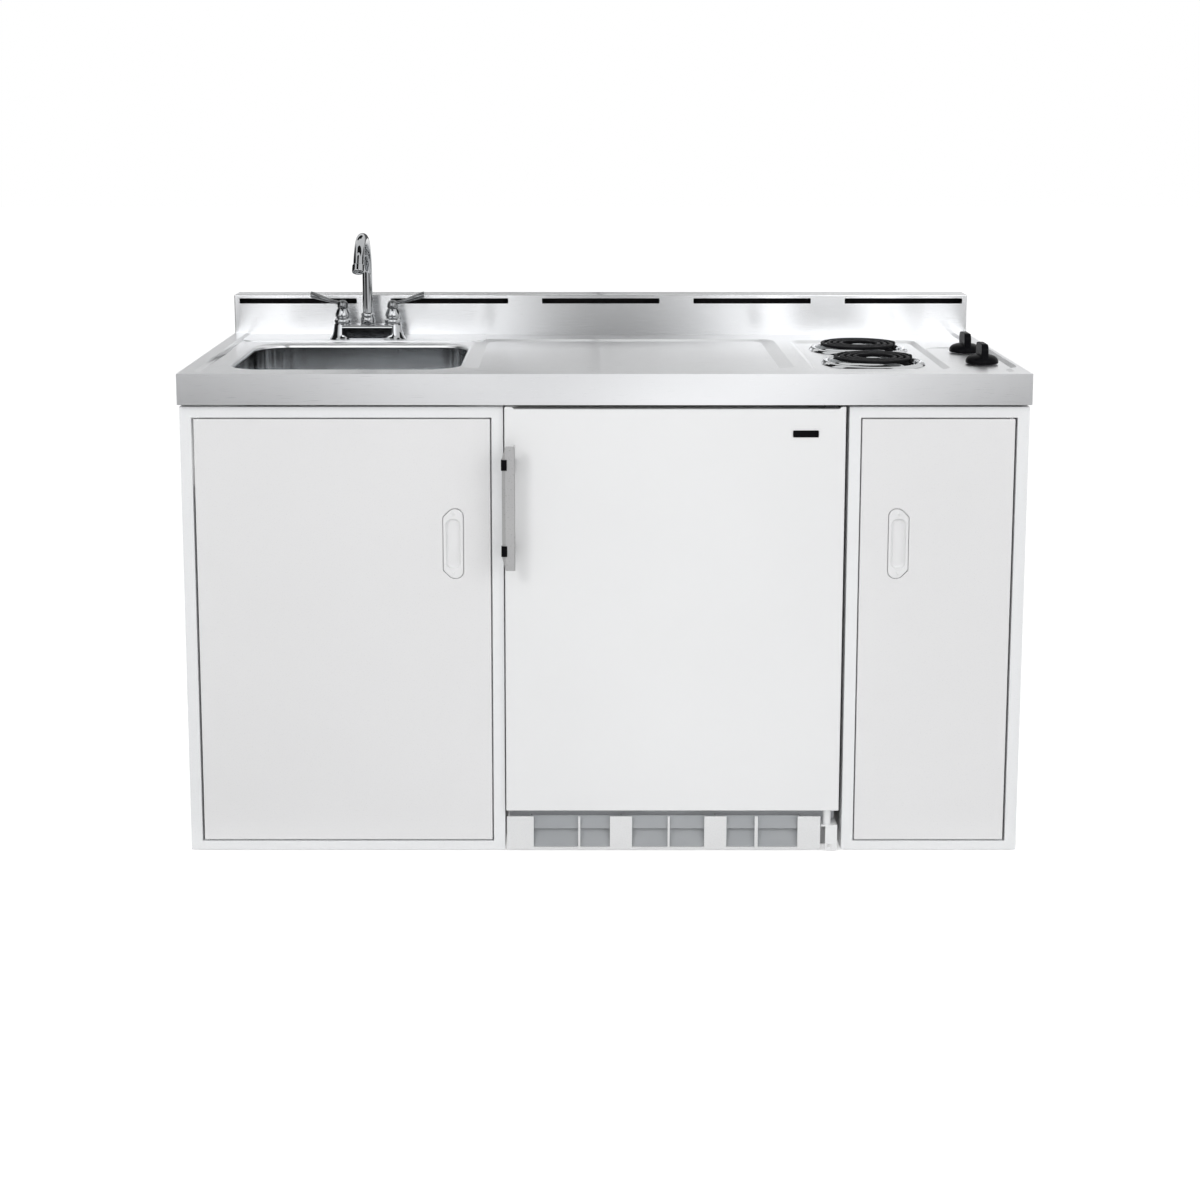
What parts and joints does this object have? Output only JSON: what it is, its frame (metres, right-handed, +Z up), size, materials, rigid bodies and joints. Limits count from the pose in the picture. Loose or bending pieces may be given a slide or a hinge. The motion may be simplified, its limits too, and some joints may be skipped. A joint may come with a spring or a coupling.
{
  "type": "kitchenette unit",
  "caption": "Compact steel kitchenette with a sink, mixer tap, coil hob, drainer, under-counter refrigerator and cupboards.",
  "frame": {"origin": "on the floor under the middle of the unit's bounding box", "axes": "+Z up, +X to the right as one faces the unit, doors face -Y, the backsplash is at +Y"},
  "size_m": [1.524, 0.68, 1.1112],
  "materials": {
    "steel": "satin brushed stainless, grain left to right",
    "chrome": "bright polished plate",
    "cabinet_enamel": "satin white baked enamel",
    "fridge_enamel": "semi-gloss white enamel",
    "galvanised": "dull zinc-coated sheet",
    "white_plastic": "semi-gloss moulded white",
    "black_plastic": "semi-gloss moulded black",
    "element_black": "matt black oxide",
    "grey_paint": "semi-gloss grey",
    "grey_plastic": "satin moulded grey",
    "gasket": "soft matt white",
    "shelf_glass": "clear with a green edge",
    "clear_plastic": "pale, slightly smoky",
    "porcelain": "unglazed pale ceramic"
  },
  "bodies": {
    "unit": {"left_carcass": "cabinet_enamel", "left_face_frame": "cabinet_enamel", "left_hinge_pin": "chrome", "right_carcass": "cabinet_enamel", "right_face_frame": "cabinet_enamel", "right_hinge_pin": "chrome", "left_catch": "white_plastic", "right_catch": "white_plastic", "left_back": "galvanised", "right_back": "galvanised", "right_shelf": "cabinet_enamel", "worktop": "steel", "sink_bowl": "steel", "backsplash": "steel", "drain_flange": "chrome", "drain_trap": "white_plastic", "tap_body": "chrome", "hot_bonnet": "chrome", "cold_bonnet": "chrome", "burner_box": "galvanised", "fridge_wrapper": "fridge_enamel", "fridge_liner": "white_plastic", "fridge_base": "element_black", "compressor": "element_black", "condenser": "element_black", "upper_hinge": "galvanised", "lower_hinge": "fridge_enamel", "kickplate": "white_plastic", "kick_louvres": "grey_plastic", "upper_shelf": "shelf_glass", "lower_shelf": "shelf_glass", "crisper": "clear_plastic", "thermostat_box": "white_plastic", "front_drip_pan": "chrome", "front_terminal_block": "porcelain", "front_switch": "white_plastic", "rear_drip_pan": "chrome", "rear_terminal_block": "porcelain", "rear_switch": "white_plastic"},
    "left_door": {"left_door": "cabinet_enamel", "left_door_pull": "white_plastic"},
    "right_door": {"right_door": "cabinet_enamel", "right_door_pull": "white_plastic"},
    "fridge_door": {"fridge_door": "fridge_enamel", "fridge_door_liner": "white_plastic", "door_gasket": "gasket", "upper_door_rack": "clear_plastic", "lower_door_rack": "clear_plastic", "handle_bar": "grey_paint", "handle_bracket_lower": "black_plastic", "handle_bracket_upper": "black_plastic"},
    "hot_lever": {"hot_lever": "chrome"},
    "cold_lever": {"cold_lever": "chrome"},
    "spout": {"spout": "chrome"},
    "front_element": {"front_coil": "element_black"},
    "rear_element": {"rear_coil": "element_black"},
    "front_knob": {"front_knob": "black_plastic"},
    "rear_knob": {"rear_knob": "black_plastic"},
    "strainer_basket": {"strainer_basket": "chrome"},
    "thermostat_dial": {"thermostat_dial": "white_plastic"}
  },
  "joints": [
    {"name": "left_door_hinge", "type": "hinge", "parent": "unit", "child": "left_door", "pos_m": [-0.729, -0.292, 0.415], "axis": [0, 0, -1], "range_deg": [0, 110]},
    {"name": "right_door_hinge", "type": "hinge", "parent": "unit", "child": "right_door", "pos_m": [0.729, -0.292, 0.415], "axis": [0, 0, 1], "range_deg": [0, 110]},
    {"name": "fridge_door_hinge", "type": "hinge", "parent": "unit", "child": "fridge_door", "pos_m": [0.412, -0.289, 0.454], "axis": [0, 0, 1], "range_deg": [0, 105]},
    {"name": "hot_lever_turn", "type": "hinge", "parent": "unit", "child": "hot_lever", "pos_m": [-0.5275, 0.207, 0.955], "axis": [0, 0, 1], "range_deg": [0, 90]},
    {"name": "cold_lever_turn", "type": "hinge", "parent": "unit", "child": "cold_lever", "pos_m": [-0.4255, 0.207, 0.955], "axis": [0, 0, -1], "range_deg": [0, 90]},
    {"name": "spout_swivel", "type": "hinge", "parent": "unit", "child": "spout", "pos_m": [-0.4765, 0.207, 0.93], "axis": [0, 0, 1], "range_deg": [-90, 90]},
    {"name": "front_element_tilt", "type": "hinge", "parent": "unit", "child": "front_element", "pos_m": [0.605, -0.115, 0.868], "axis": [0, 1, 0], "range_deg": [0, 10]},
    {"name": "rear_element_tilt", "type": "hinge", "parent": "unit", "child": "rear_element", "pos_m": [0.605, 0.079, 0.868], "axis": [0, 1, 0], "range_deg": [0, 10]},
    {"name": "front_knob_turn", "type": "hinge", "parent": "unit", "child": "front_knob", "pos_m": [0.704, -0.15, 0.9], "axis": [0, 0, 1], "continuous": true},
    {"name": "rear_knob_turn", "type": "hinge", "parent": "unit", "child": "rear_knob", "pos_m": [0.704, 0.008, 0.9], "axis": [0, 0, 1], "continuous": true},
    {"name": "strainer_lift", "type": "slide", "parent": "unit", "child": "strainer_basket", "axis": [0, 0, 1], "range_m": [0, 0.2]},
    {"name": "thermostat_turn", "type": "hinge", "parent": "unit", "child": "thermostat_dial", "pos_m": [0.333, -0.015, 0.731], "axis": [1, 0, 0], "range_deg": [0, 270]}
  ]
}
